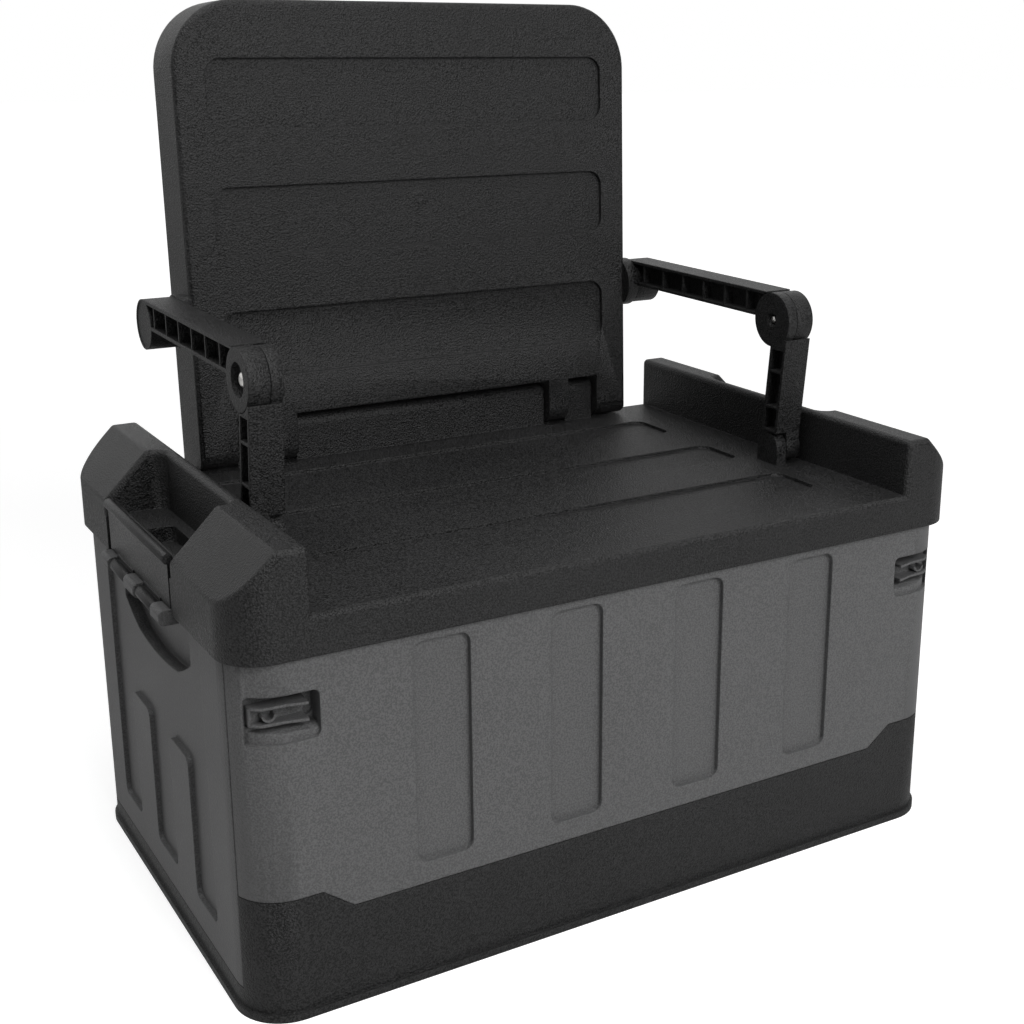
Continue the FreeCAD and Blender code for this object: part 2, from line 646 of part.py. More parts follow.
# seat bands
lid.cut("z", seat_top - band_deep, seat_top + 1, *[
    rect(-band_half, band_half, band_pitch * i - band_wide / 2, band_pitch * i + band_wide / 2, 8)
    for i in (-1, 0, 1)])
# ribs under the seat
lid.add("z", deck_under - 7, deck_under + 0.5, *[
    rect(x - 1.5, x + 1.5, -150, 150) for x in (-160, -80, 0, 80, 160)])
# hinge housings
hc = cut_half - 0.8
small_a = cut_half + knuckle + 0.8
small_b = cut_half + knuckle + small_cut - 0.8
for a, b in ((-hc, hc), (small_a, small_b), (-small_b, -small_a)):
    lid.add("x", a, b, [(house_front, seat_top - 1), (house_front, house_top - 9, "arc", q(9), "cw"),
                        (house_front + 9, house_top), (lid_y - 0.5, house_top), (lid_y - 0.5, seat_top - 1)])
lid.cut("x", cut_half - 18, small_b + 1, circle(hinge_back, hinge_up, hinge_pin))
lid.cut("x", -cut_half + 18, -small_b - 1, circle(hinge_back, hinge_up, hinge_pin))
# stubs that carry the armrest links
pd = (-pivot_front, pivot_up)
for k in both:
    lid.add("x", k * (arm_in + 0.5), k * (arm_in + 0.5 + stub_wide), [
        (pd[0] + stub_rad, seat_top - 1), (pd[0] + stub_rad, pivot_up, "arc", stub_rad, "ccw"),
        (pd[0] - stub_rad, pivot_up), (pd[0] - stub_rad, seat_top - 1)])
    lid.cut("x", k * (arm_in + 2.5), k * (arm_in + 1 + stub_wide), circle(pd[0], pd[1], 3))

# Backrest, built upright about its hinge axis and then leaned back: three sunk panels in front,
# cut-outs and knuckles round the hinge, ribs and hollow cells behind, a boss for each arm.
back = Piece("backrest")
b0 = -back_front
b1 = back_deep - back_front
heel = -(back_front - 0.4)
back.add("y", b0, b1, [(-back_half, heel), (back_half, heel), (back_half, back_top, back_rad),
                       (-back_half, back_top, back_rad)])


def front_edge(e):
    m = mid(e)
    return abs(m.y - b0.v) < 0.01 and m.z > heel.v + 1


back.round(4, front_edge)
back.round(2.5, lambda e: abs(mid(e).y - b1.v) < 0.01 and mid(e).z > heel.v + 1)
back.cut("x", -back_half - 1, back_half + 1, [
    (b0 - 1, q(0)), (b0, q(0), "arc", back_front, "ccw"), (q(0), b0), (q(0), b0 - 1), (b0 - 1, b0 - 1)])
nx, nz = 6, 5
z_low = cut_high + 3.4
cw = (back_half * 2 - 6) / nx
ch = (back_top - 3 - z_low) / nz
cells = []
for i in range(nx):
    for j in range(nz):
        x0 = -back_half + 3 + cw * i
        z0 = z_low + ch * j
        loop = rect(x0 + (0 if i == 0 else 1.25), x0 + cw - (0 if i == nx - 1 else 1.25),
                    z0 + (0 if j == 0 else 1.25), z0 + ch - (0 if j == nz - 1 else 1.25))
        if j == nz - 1 and i in (0, nx - 1):
            n = 3 if i == 0 else 2
            loop[n] = (loop[n][0], loop[n][1], back_rad - 3)
        cells.append(loop)
back.cut("y", b0 + back_skin, b1 + 1, *cells)
back.cut("y", b0 - 1, b0 + 3, *[
    rect(-166.5, 166.5, panel_low + panel_pitch * i, panel_low + panel_pitch * i + panel_high, 12)
    for i in range(3)])
back.cut("y", b0 - 1, b1 + 1, rect(-cut_half, cut_half, b0 - 1, cut_high), *[
    rect(k * (cut_half + knuckle), k * (cut_half + knuckle + small_cut), b0 - 1, cut_high) for k in both])
up_y = -link_long * sind(lean)
up_z = link_long * cosd(lean)
back.add("x", -(arm_in - 0.4), -(back_half - 1), circle(up_y, up_z, 20))
back.add("x", back_half - 1, arm_in - 0.4, circle(up_y, up_z, 20))
for k in both:
    back.add("x", k * (back_half - 14), k * (back_half - 2), circle(up_y, up_z, 10))
back.cut("x", back_half - 13, arm_in, circle(up_y, up_z, 4))
back.cut("x", -(back_half - 13), -arm_in, circle(up_y, up_z, 4))
back.cut("x", cut_half - 1, back_half - 10, circle(0, 0, hinge_pin + run_gap))
back.cut("x", -(cut_half - 1), -(back_half - 10), circle(0, 0, hinge_pin + run_gap))
back.body.Placement = FreeCAD.Placement(V(0, hinge_back.v, hinge_up.v), FreeCAD.Rotation(V(1, 0, 0), -lean.v))
back.body.setExpression("Placement.Base.y", hinge_back.e)
back.body.setExpression("Placement.Base.z", hinge_up.e)
back.body.setExpression("Placement.Rotation.Angle", (-lean).e)

# Armrests
by, bz = hinge_back, hinge_up + link_long
cy, cz = -pivot_front, pivot_up + link_long
top_b, top_c = bz + hub_rad, cz + elbow_rad


def top_at(y):
    return top_c + (y - cy) / (by - cy) * (top_b - top_c)


def arm(label, s):
    p = Piece(label)
    bottom = lambda y: top_at(y) - beam_deep
    y0 = cy + 8
    p.add("x", s * arm_in, s * arm_out, [(y0, bottom(y0)), (by, bottom(by)), (by, top_b), (y0, top_at(y0))])
    # open channels on both sides of a web, with cross ribs
    ya, yb = cy + 9, by - 4
    f = q(2.4)
    chan = [(ya, bottom(ya) + f), (yb, bottom(yb) + f), (yb, top_at(yb) - f), (ya, top_at(ya) - f)]
    w0 = (arm_in + arm_out) / 2 - web / 2
    p.cut("x", s * (arm_in - 1), s * w0, chan)
    p.cut("x", s * (w0 + web), s * (arm_out + 1), chan)
    p.add("x", s * (arm_in + 0.4), s * (arm_out - 0.4), *[
        rect(y - 0.9, y + 0.9, bottom(y) + 1.8, top_at(y) - 1.8)
        for y in [by - 26.4 - rib_step * i for i in range(6)]])
    p.add("x", s * arm_in, s * arm_out, circle(by, bz, hub_rad))
    p.cut("x", s * (arm_in - 1), s * arm_lap, circle(cy, cz, elbow_rad + 0.7))
    p.add("x", s * arm_lap, s * arm_out, circle(cy, cz, elbow_rad))
    p.cut("x", s * (arm_out - 5), s * (arm_out + 1), circle(cy, cz, 11.5))
    p.cut("x", s * (arm_lap - 1), s * (arm_out - 4), circle(cy, cz, 3.1))
    p.cut("x", s * (arm_out - 0.7), s * (arm_out + 1), circle(by, bz, hub_rad - 1.4))
    p.cut("x", s * (arm_in - 1), s * (arm_out - 3.5), circle(by, bz, 4 + run_gap))
    return p


left_arm = arm("left_arm", -1)

# Links: the upright of each armrest, between the lid's stub and the elbow
link_low = pivot_up + stub_rad + 0.4
front_low = cy - 10.5
run_z = cz - 13.5 - link_low


def link(label, s):
    p = Piece(label)
    yf = lambda z: front_low - (z - link_low) / run_z * lean_y
    p.add("x", s * arm_in, s * (arm_lap - 0.4), circle(cy, cz, elbow_rad))
    top = cz - 13.5
    p.add("x", s * arm_in, s * arm_out, [
        (yf(link_low), link_low), (yf(link_low) + link_deep, link_low),
        (yf(top) + link_deep, top), (yf(top), top)])
    p.cut("x", s * (arm_lap - 0.4), s * (arm_out + 1), circle(cy, cz, elbow_rad + 0.7))
    inner = arm_in + 0.5 + stub_wide + 0.5
    p.add("x", s * inner, s * arm_out, circle(cy, pivot_up, stub_rad))
    p.add("x", s * inner, s * arm_out, [
        (yf(link_low) - 0.3, pivot_up + 3), (yf(link_low) + link_deep + 1, pivot_up + 3),
        (yf(link_low) + link_deep, link_low + 1), (yf(link_low), link_low + 1)])
    w0 = (arm_in + arm_out) / 2 - web / 2
    f = q(2.4)
    stops = [(link_low + 2.5, link_low + run_z * 0.26),
             (link_low + run_z * 0.26 + 2, link_low + run_z * 0.64),
             (link_low + run_z * 0.64 + 2, link_low + run_z * 0.88)]
    quads = [[(yf(a) + f, a), (yf(a) + link_deep - f, a), (yf(b) + link_deep - f, b), (yf(b) + f, b)]
             for a, b in stops]
    p.cut("x", s * (arm_in - 1), s * w0, *quads)
    p.cut("x", s * (w0 + web), s * (arm_out + 1), *quads)
    p.cut("x", s * (arm_in - 1), s * arm_lap, circle(cy, cz, 3.7))
    p.cut("x", s * (arm_in - 1), s * (arm_in + 1.2), circle(cy, cz, 4.8))
    p.cut("x", s * (inner - 1), s * (arm_out - 3), circle(cy, pivot_up, 3 + run_gap))
    return p


left_link = link("left_link", -1)


# Clasps: a plate that covers the rim in the lid's end pocket, hinged on the end panel
def clasp(label, s):
    p = Piece(label)
    a = rim_out + 1.2
    b = a + 4
    p.add("y", c - clasp_half, c + clasp_half, rect(s * a, s * b, clasp_up + 5.8, rim_top + 2))
    p.add("y", c - clasp_half, c + clasp_half, circle(s * (a + 3.5), rim_top + 2.5, 3.5))
    r = clasp_rad - 0.8
    for y0, y1 in ((-49.2, -11.5), (11.5, 49.2)):
        p.add("y", c + y0, c + y1, circle(s * clasp_out, clasp_up, r))
        p.add("y", c + y0, c + y1, rect(
            s * (clasp_out - 5.6), s * (clasp_out - 2), clasp_up + 1, clasp_up + 7))
    p.cut("y", c - 50, c + 50, circle(s * clasp_out, clasp_up, clasp_pin + run_gap))
    return p


left_clasp = clasp("left_clasp", -1)


# Latches: a finger bar in the recess, joined through the slot to a bolt behind the panel
def latch(label, sx, sy):
    p = Piece(label)
    face = hy - latch_deep
    outer = latch_out - 2.2
    inner = latch_in + latch_move + 1.6
    z0, z1 = latch_low + 11.2, latch_high - 7
    # base plate, and two flanges whose front edges flare out at the inner end
    p.add("y", sy * (face + 0.3), sy * (face + 3.5), rect(sx * outer, sx * inner, z0 + 1.5, z1 - 1.5))
    for a, b in ((z0, z0 + 1.8), (z1 - 1.8, z1)):
        p.add("z", a, b, [
            (sx * outer, sy * (face + 0.3)), (sx * inner, sy * (face + 0.3)), (sx * inner, sy * (hy - 0.4)),
            (sx * (inner + 12), sy * (hy - 3.6)), (sx * outer, sy * (hy - 5.4))])
    p.add("y", sy * (face + 0.3), sy * (hy - 6), rect(sx * outer, sx * (outer - 1.6), z0 + 1, z1 - 1))
    # half-round thumb rib
    mx, mz = outer - 11.5, (z0 + z1) / 2 + 0.5
    p.add("y", sy * (face + 1), sy * (hy - 5.5), [
        (sx * (mx + 4.4), mz, "arc", q(4.4), "cw" if sx > 0 else "ccw"), (sx * (mx - 4.4), mz),
        (sx * (mx - 3), mz, "arc", q(3), "ccw" if sx > 0 else "cw"), (sx * (mx + 3), mz)])
    # the outer end is trimmed to the round corner of the crate
    p.cut("z", z0 - 1, z1 + 1, rect(-hx - 3, hx + 3, -hy - 3, hy + 3), outline(q(-0.8), corner_rad - 0.8))
    # neck through the panel, and the bolt behind it
    sa, sb = latch_out - 13.5, latch_out - 22.5
    p.add("y", sy * (face + 1), sy * (face - 5), rect(sx * sa, sx * sb, bolt_low, bolt_high))
    back_y = face - 2.7
    lip_x = hx - flange + 1.5
    p.add("z", bolt_low, bolt_high, [
        (sx * (lip_x - 4), sy * back_y), (sx * sb, sy * back_y), (sx * sb, sy * (seam - 11)),
        (sx * (lip_x + 2.5), sy * (seam - 11)), (sx * (lip_x + 2.5), sy * (seam - 5)),
        (sx * (lip_x - 4), sy * (seam - 5))])
    return p


latch_fl = latch("latch_front_left", -1, -1)
latch_fr = latch("latch_front_right", 1, -1)

# The other half of each pair is a mirror image
solids = []


def mirrored(name, piece, normal):
    o = doc.addObject("Part::Mirroring", name)
    o.Source = piece.body
    o.Normal = normal
    o.Label = name
    solids.append(o)


sideways, backwards = V(1, 0, 0), V(0, 1, 0)
for piece, name, normal in (
        (front, "back_panel", backwards), (left_end, "right_end_panel", sideways),
        (left_arm, "right_arm", sideways), (left_link, "right_link", sideways),
        (left_clasp, "right_clasp", sideways),
        (latch_fl, "latch_back_left", backwards), (latch_fr, "latch_back_right", backwards)):
    piece.body.Tip.Refine = True
    mirrored(name, piece, normal)

# Pins, rods and screws: plain turned pieces
TURN = {"x": FreeCAD.Rotation(V(0, 1, 0), 90), "y": FreeCAD.Rotation(V(1, 0, 0), -90)}


def cylinder(name, axis, start, end, a, b, r):
    """A cylinder along x or y from start to end; a and b are its other two coordinates."""
    start, end, a, b, r = q(start), q(end), q(a), q(b), q(r)
    if start.v > end.v:
        start, end = end, start
    o = doc.addObject("Part::Cylinder", name)
    o.Label = name
    o.Radius = r.v
    o.setExpression("Radius", r.e)
    o.Height = (end - start).v
    o.setExpression("Height", (end - start).e)
    at = (start, a, b) if axis == "x" else (a, start, b)
    o.Placement = FreeCAD.Placement(V(at[0].v, at[1].v, at[2].v), TURN[axis])
    for k, value in zip("xyz", at):
        o.setExpression("Placement.Base." + k, value.e)
    return o


def fused(name, *shapes):
    o = doc.addObject("Part::MultiFuse", name)
    o.Shapes = list(shapes)
    o.Label = name
    solids.append(o)


for name, s in (("front_hinge_rod", -1), ("back_hinge_rod", 1)):
    solids.append(cylinder(name, "x", lug_x[0] - 6, -lug_x[0] + 6, s * rod_in, rod_up, rod_rad))
for side, s in (("left", -1), ("right", 1)):
    solids.append(cylinder(side + "_end_rod", "y", -106, 106, s * end_rod_in, end_rod_up, end_rod_rad))
    solids.append(cylinder(
        side + "_clasp_pin", "y", c - pin_half, c + pin_half, s * clasp_out, clasp_up, clasp_pin))
    solids.append(cylinder(
        side + "_hinge_pin", "x", s * (cut_half - 17), s * (back_half - 11), hinge_back, hinge_up, hinge_pin))
    solids.append(cylinder(side + "_lower_pin", "x", s * (arm_in + 3), s * (arm_out - 3.5), cy, pivot_up, 3))
    solids.append(cylinder(side + "_upper_pin", "x", s * (back_half - 12.5), s * (arm_out - 4), by, bz, 4))
    shank = cylinder(side + "_screw_shank", "x", s * (arm_in + 0.4), s * (arm_out - 5), cy, cz, 3)
    head = cylinder(side + "_screw_head", "x", s * (arm_out - 5), s * (arm_out - 1.6), cy, cz, 5.4)
    fused(side + "_elbow_screw", shank, head)

doc.recompute()
bad = [o.Label for o in doc.Objects if "Invalid" in o.State or "Error" in o.State]
if bad:
    raise RuntimeError("failed objects: %s" % bad)
bodies = [o for o in doc.Objects if o.TypeId == "PartDesign::Body"]
os.makedirs("parts", exist_ok=True)
for o in bodies + solids:
    shape = o.Shape
    if shape.isNull() or not shape.isValid() or len(shape.Solids) != 1:
        raise RuntimeError("%s is not one sound solid (%d)" % (o.Label, len(shape.Solids)))
for o in bodies + solids:
    o.Shape.exportStep(os.path.join("parts", o.Label + ".step"))
print("wrote", len(bodies + solids), "sub-parts")
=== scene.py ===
import json
import math

import bmesh
import bpy
from mathutils import Matrix, Vector


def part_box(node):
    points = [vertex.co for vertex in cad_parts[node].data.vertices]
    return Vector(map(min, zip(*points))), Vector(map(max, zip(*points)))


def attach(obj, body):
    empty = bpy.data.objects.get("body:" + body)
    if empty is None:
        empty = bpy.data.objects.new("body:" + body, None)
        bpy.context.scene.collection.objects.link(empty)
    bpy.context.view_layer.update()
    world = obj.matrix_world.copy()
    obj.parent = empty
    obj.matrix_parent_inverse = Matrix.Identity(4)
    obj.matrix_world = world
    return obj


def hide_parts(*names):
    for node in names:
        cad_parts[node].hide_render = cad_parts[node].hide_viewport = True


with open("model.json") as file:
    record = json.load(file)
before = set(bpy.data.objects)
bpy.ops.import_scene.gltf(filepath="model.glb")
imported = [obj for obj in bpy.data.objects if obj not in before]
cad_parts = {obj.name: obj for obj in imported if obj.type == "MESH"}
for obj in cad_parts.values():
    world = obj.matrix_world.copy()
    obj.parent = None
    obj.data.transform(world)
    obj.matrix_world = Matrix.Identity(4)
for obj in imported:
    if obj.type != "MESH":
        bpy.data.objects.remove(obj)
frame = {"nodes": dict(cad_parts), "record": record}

bl_info = {
    "name": "Seat box looks",
    "version": (1, 1, 0),
    "blender": (4, 5, 0),
    "location": "View3D > Sidebar > Seat box",
    "description": "Dresses an angler's seat box: moulded plastics, steel fittings, floor, light and camera",
    "category": "Object",
}

MM = 0.001
SIDES = (("left", -1), ("right", 1))
MOULDINGS = ("base_tray", "lid", "backrest")
WALLS = ("front_panel", "back_panel", "left_end_panel", "right_end_panel")
ARMRESTS = ("left_arm", "right_arm", "left_link", "right_link")
CLASPS = ("left_clasp", "right_clasp")
LATCHES = ("latch_front_left", "latch_front_right", "latch_back_left", "latch_back_right")
SCREWS = ("left_elbow_screw", "right_elbow_screw")
RODS = tuple(n for n in frame["nodes"] if n not in MOULDINGS + WALLS + ARMRESTS + CLASPS + LATCHES + SCREWS)

# How the meshes are cleaned: points closer than WELD join, faces flatter than FLAT merge, and edges
# sharper than HARD are hard
WELD = 0.00002
FLAT = math.radians(0.6)
HARD = math.radians(32)
NEW_HARD = math.radians(35)

# The gate mark: how far up the backrest from its hinge, how far in front of it, and the lean
GATE_UP = 182 * MM
GATE_OUT = 12.0 * MM
BACK_LEAN = math.radians(1.84)

# The cells under the base: how many, the field they fill, and the height of their roof
CELLS = (6, 4)
CELL_FIELD = (526 * MM, 312 * MM)
CELL_ROOF = 4.5 * MM

# The camera's lens, in pixels of the photograph
PHOTO = 1024
FOCUS = 1503.293
CENTRE = (570.048, 477.568)
SENSOR = 36


# Node trees

class Wire:
    """An output in a node tree: arithmetic on it adds Math nodes there."""

    def __init__(self, sheet, socket):
        self.sheet = sheet
        self.socket = socket

    def maths(self, operation, *values):
        return self.sheet.add("ShaderNodeMath", {"operation": operation}, dict(enumerate(values)))

    def __add__(self, o):
        return self.maths("ADD", self, o)

    def __sub__(self, o):
        return self.maths("SUBTRACT", self, o)

    def __rsub__(self, o):
        return self.maths("SUBTRACT", o, self)

    def __mul__(self, o):
        return self.maths("MULTIPLY", self, o)

    __radd__ = __add__
    __rmul__ = __mul__

    def at_least(self, o):
        return self.maths("MAXIMUM", self, o)

    def between(self, low, high):
        """0 below low, 1 above high, and a smooth step between them."""
        return self.sheet.add("ShaderNodeMapRange", {"interpolation_type": "SMOOTHSTEP"},
                              {"Value": self, "From Min": low, "From Max": high}, "Result")


class Sheet:
    """A node tree and the one way nodes are added to it."""

    def __init__(self, tree):
        self.tree = tree

    def feed(self, socket, value):
        if isinstance(value, Wire):
            self.tree.links.new(value.socket, socket)
        else:
            socket.default_value = value

    def add(self, kind, settings=None, inputs=None, output=0):
        node = self.tree.nodes.new(kind)
        for name, value in (settings or {}).items():
            setattr(node, name, value)
        for key, value in (inputs or {}).items():
            self.feed(node.inputs[key], value)
        return Wire(self, node.outputs[output])


class Finish(Sheet):
    """A Principled material under construction, patterned on object coordinates."""

    def __init__(self, name):
        self.material = bpy.data.materials.new(name)
        self.material.use_nodes = True
        super().__init__(self.material.node_tree)
        self.shader = self.tree.nodes["Principled BSDF"]
        self.place = self.add("ShaderNodeTexCoord", output="Object")

    def stretched(self, scale):
        return self.add("ShaderNodeMapping", None, {"Vector": self.place, "Scale": scale})

    def noise(self, scale, detail=2.0, rough=0.5, place=None):
        return self.add("ShaderNodeTexNoise", None, {
            "Vector": place or self.place, "Scale": scale, "Detail": detail, "Roughness": rough}, "Fac")

    def pebbles(self, scale):
        return self.add("ShaderNodeTexVoronoi", None, {"Vector": self.place, "Scale": scale}, "Distance")

    def mix(self, amount, dark, light):
        return self.add("ShaderNodeMix", {"data_type": "RGBA"}, {
            "Factor": amount, 6: (*dark, 1), 7: (*light, 1)}, 2)

    def surface(self, **values):
        for name, value in values.items():
            self.feed(self.shader.inputs[name.replace("_", " ")], value)

    def relief(self, height, strength, depth, edge=0.0):
        """Bumps over the surface; with an edge, light also rounds the edges by that radius."""
        inputs = {"Strength": strength, "Distance": depth, "Height": height}
        if edge:
            inputs["Normal"] = self.add("ShaderNodeBevel", {"samples": 4}, {"Radius": edge})
        self.feed(self.shader.inputs["Normal"], self.add("ShaderNodeBump", None, inputs))


def shade(colour, factor):
    return tuple(c * factor for c in colour[:3])


def moulded(name, colour, contrast, gloss, grain, edge, shine=0.29, depth=0.0005):
    """Moulded plastic: pebbled tool grain, faint clouds of flow and fine specks in the colour."""
    f = Finish(name)
    clouds = f.noise(7.0, 3.0).between(0.32, 0.68)
    specks = f.noise(grain, 1.0, 0.7).between(0.38, 0.62)
    tone = clouds * 0.12 + specks * 0.88
    f.surface(Base_Color=f.mix(tone, shade(colour, 1 - contrast), shade(colour, 1 + contrast)),
              Roughness=clouds * 0.05 + specks * 0.16 + (gloss - 0.1),
              Specular_IOR_Level=shine)
    f.relief(f.pebbles(grain * 0.9) * 0.5 + f.noise(grain * 1.2, 1.0, 0.6) * 0.5, 0.75, depth, edge)
    return f.material


def turned(name, colour, rough):
    """Plated steel with fine turning marks."""
    f = Finish(name)
    marks = f.noise(220.0, 3.0, 0.6, f.stretched((1.0, 9.0, 9.0)))
    f.surface(Base_Color=(*colour, 1), Metallic=1.0, Roughness=marks * 0.16 + rough)
    f.relief(marks, 0.12, 0.0001)
    return f.material


# Geometry

def mesh_object(name, mesh, material, body):
    """A new piece whose mesh already stands where it belongs."""
    mesh.name = name
    for p in mesh.polygons:
        p.use_smooth = True
    mesh.set_sharp_from_angle(angle=NEW_HARD)
    mesh.materials.clear()
    mesh.materials.append(material)
    obj = bpy.data.objects.new(name, mesh)
    bpy.context.scene.collection.objects.link(obj)
    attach(obj, body)
    return obj


def lathe(profile, origin, axis, segments=48):
    """The mesh of (radius, height) points turned about an axis; ends on the axis close it."""
    bm = bmesh.new()
    axis = Vector(axis).normalized()
    side = axis.orthogonal().normalized()
    up = axis.cross(side)
    rings = []
    for r, h in profile:
        centre = Vector(origin) + axis * h
        if r < 1e-7:
            rings.append([bm.verts.new(centre)])
        else:
            rings.append([bm.verts.new(centre + (side * math.cos(a) + up * math.sin(a)) * r)
                          for a in (2 * math.pi * i / segments for i in range(segments))])
    for a, b in zip(rings, rings[1:]):
        for i in range(segments):
            j = (i + 1) % segments
            quad = [a[i % len(a)], a[j % len(a)], b[j % len(b)], b[i % len(b)]]
            quad = [v for k, v in enumerate(quad) if v not in quad[:k]]
            if len(quad) > 2:
                bm.faces.new(quad)
    bmesh.ops.recalc_face_normals(bm, faces=bm.faces)
    mesh = bpy.data.meshes.new("turned")
    bm.to_mesh(mesh)
    bm.free()
    return mesh


def clean(node, width):
    """Merges a CAD node's flat faces and takes a hairline off its hard edges, so that they shade well."""
    obj = frame["nodes"][node]
    weld = obj.modifiers.new("weld", "WELD")
    weld.merge_threshold = WELD
    flat = obj.modifiers.new("flat_faces", "DECIMATE")
    flat.decimate_type = "DISSOLVE"
    flat.angle_limit = FLAT
    bevel = obj.modifiers.new("hairline", "BEVEL")
    bevel.width = width
    bevel.segments = 1
    bevel.limit_method = "ANGLE"
    bevel.angle_limit = HARD
    bevel.use_clamp_overlap = True
    bevel.harden_normals = True


def paint(node, material):
    obj = frame["nodes"][node]
    obj.data.materials.clear()
    obj.data.materials.append(material)


def marks_tree():
    """Round marks of a mould in rows and columns: a grid of points with a low disc on each."""
    tree = bpy.data.node_groups.new("mould_marks", "GeometryNodeTree")
    sockets = {}
    for name, kind in (("Columns", "Int"), ("Rows", "Int"), ("Column Pitch", "Float"),
                       ("Row Pitch", "Float"), ("Radius", "Float"), ("Height", "Float"),
                       ("Finish", "Material")):
        sockets[name] = tree.interface.new_socket(
            name, in_out="INPUT", socket_type="NodeSocket" + kind).identifier
    tree.interface.new_socket("Geometry", in_out="OUTPUT", socket_type="NodeSocketGeometry")
    s = Sheet(tree)
    group = tree.nodes.new("NodeGroupInput")

    def given(name):
        return Wire(s, group.outputs[name])

    grid = s.add("GeometryNodeMeshGrid", None, {
        "Size X": (given("Columns") - 1) * given("Column Pitch"),
        "Size Y": (given("Rows") - 1) * given("Row Pitch"),
        "Vertices X": given("Columns"), "Vertices Y": given("Rows")})
    disc = s.add("GeometryNodeMeshCylinder", {"fill_type": "NGON"}, {
        "Vertices": 28, "Radius": given("Radius"), "Depth": given("Height")})
    row = s.add("GeometryNodeInstanceOnPoints", None, {"Points": grid, "Instance": disc})
    solid = s.add("GeometryNodeRealizeInstances", None, {0: row})
    done = s.add("GeometryNodeSetMaterial", None, {"Geometry": solid, "Material": given("Finish")})
    out = tree.nodes.new("NodeGroupOutput")
    tree.links.new(done.socket, out.inputs[0])
    return tree, sockets


def marks_mesh(values, place):
    """The marks as a plain mesh, moved to a place."""
    tree, sockets = marks_tree()
    carrier = bpy.data.objects.new("marks_carrier", bpy.data.meshes.new("marks_carrier"))
    bpy.context.scene.collection.objects.link(carrier)
    mod = carrier.modifiers.new("marks", "NODES")
    mod.node_group = tree
    for name, value in values.items():
        mod[sockets[name]] = value
    bpy.context.view_layer.update()
    evaluated = carrier.evaluated_get(bpy.context.evaluated_depsgraph_get())
    mesh = bpy.data.meshes.new_from_object(evaluated)
    mesh.transform(Matrix.Translation(place))
    bpy.data.objects.remove(carrier)
    return mesh


# Settings

class SeatBoxSettings(bpy.types.PropertyGroup):
    black: bpy.props.FloatVectorProperty(
        name="Black plastic", description="Colour of base, lid, backrest and armrests",
        subtype="COLOR", default=(0.0114, 0.0114, 0.0116), min=0, max=1)
    grey: bpy.props.FloatVectorProperty(
        name="Grey plastic", description="Colour of the walls and latches",
        subtype="COLOR", default=(0.082, 0.082, 0.083), min=0, max=1)
    clasp: bpy.props.FloatVectorProperty(
        name="Clasp plastic", description="Colour of the end clasps",
        subtype="COLOR", default=(0.0085, 0.0085, 0.0088), min=0, max=1)
    steel: bpy.props.FloatVectorProperty(
        name="Steel", description="Colour of pins, rods and screws",
        subtype="COLOR", default=(0.62, 0.61, 0.59), min=0, max=1)
    grain: bpy.props.FloatProperty(
        name="Grain", description="Pebbles of the tool grain in a metre", default=820, min=200, max=4000)
    hairline: bpy.props.FloatProperty(
        name="Hairline", description="Width taken off the hard edges of the meshes", subtype="DISTANCE",
        default=0.00002, min=0.000005, max=0.0002)
    soft_edge: bpy.props.FloatProperty(
        name="Edge rounding", description="Radius by which light rounds the moulded edges",
        subtype="DISTANCE", default=0.0015, min=0.0, max=0.004)
    key: bpy.props.FloatProperty(name="Front light", description="Soft light at the front", unit="POWER",
                                 default=50, min=0)
    top: bpy.props.FloatProperty(name="Top light", description="Soft light above", unit="POWER",
                                 default=34, min=0)
    sky: bpy.props.FloatProperty(
        name="Surround", description="Even light from all round", subtype="FACTOR",
        default=0.15, min=0, max=1)
    room: bpy.props.FloatProperty(
        name="Room", description="Brightness of the room in reflections", subtype="FACTOR",
        default=0.3, min=0, max=1)


MATERIALS = {}


def dress(names, key):
    for name in names:
        clean(name, bpy.context.scene.seatbox.hairline)
        paint(name, MATERIALS[key])


class SEATBOX_OT_finishes(bpy.types.Operator):
    """Makes the plastics and the steel"""
    bl_idname = "seatbox.finishes"
    bl_label = "Finishes"

    def execute(self, context):
        s = context.scene.seatbox
        MATERIALS["black"] = moulded("black_plastic", s.black, 0.95, 0.50, s.grain, s.soft_edge,
                                     shine=0.24, depth=0.0011)
        MATERIALS["grey"] = moulded("grey_plastic", s.grey, 0.26, 0.55, s.grain, s.soft_edge)
        MATERIALS["clasp"] = moulded("clasp_plastic", s.clasp, 0.6, 0.44, s.grain, s.soft_edge * 0.5)
        MATERIALS["steel"] = turned("steel", s.steel, 0.24)
        return {"FINISHED"}


class SEATBOX_OT_mouldings(bpy.types.Operator):
    """Base tray, seat lid and backrest"""
    bl_idname = "seatbox.mouldings"
    bl_label = "Base, lid and backrest"

    def execute(self, context):
        dress(MOULDINGS, "black")
        return {"FINISHED"}


class SEATBOX_OT_walls(bpy.types.Operator):
    """The four grey wall panels"""
    bl_idname = "seatbox.walls"
    bl_label = "Walls"

    def execute(self, context):
        dress(WALLS, "grey")
        return {"FINISHED"}


class SEATBOX_OT_armrests(bpy.types.Operator):
    """Armrests and their uprights"""
    bl_idname = "seatbox.armrests"
    bl_label = "Armrests"

    def execute(self, context):
        dress(ARMRESTS, "black")
        return {"FINISHED"}


class SEATBOX_OT_clasps(bpy.types.Operator):
    """The two end clasps"""
    bl_idname = "seatbox.clasps"
    bl_label = "Clasps"

    def execute(self, context):
        dress(CLASPS, "clasp")
        return {"FINISHED"}


class SEATBOX_OT_latches(bpy.types.Operator):
    """The four slide latches"""
    bl_idname = "seatbox.latches"
    bl_label = "Latches"

    def execute(self, context):
        dress(LATCHES, "grey")
        return {"FINISHED"}


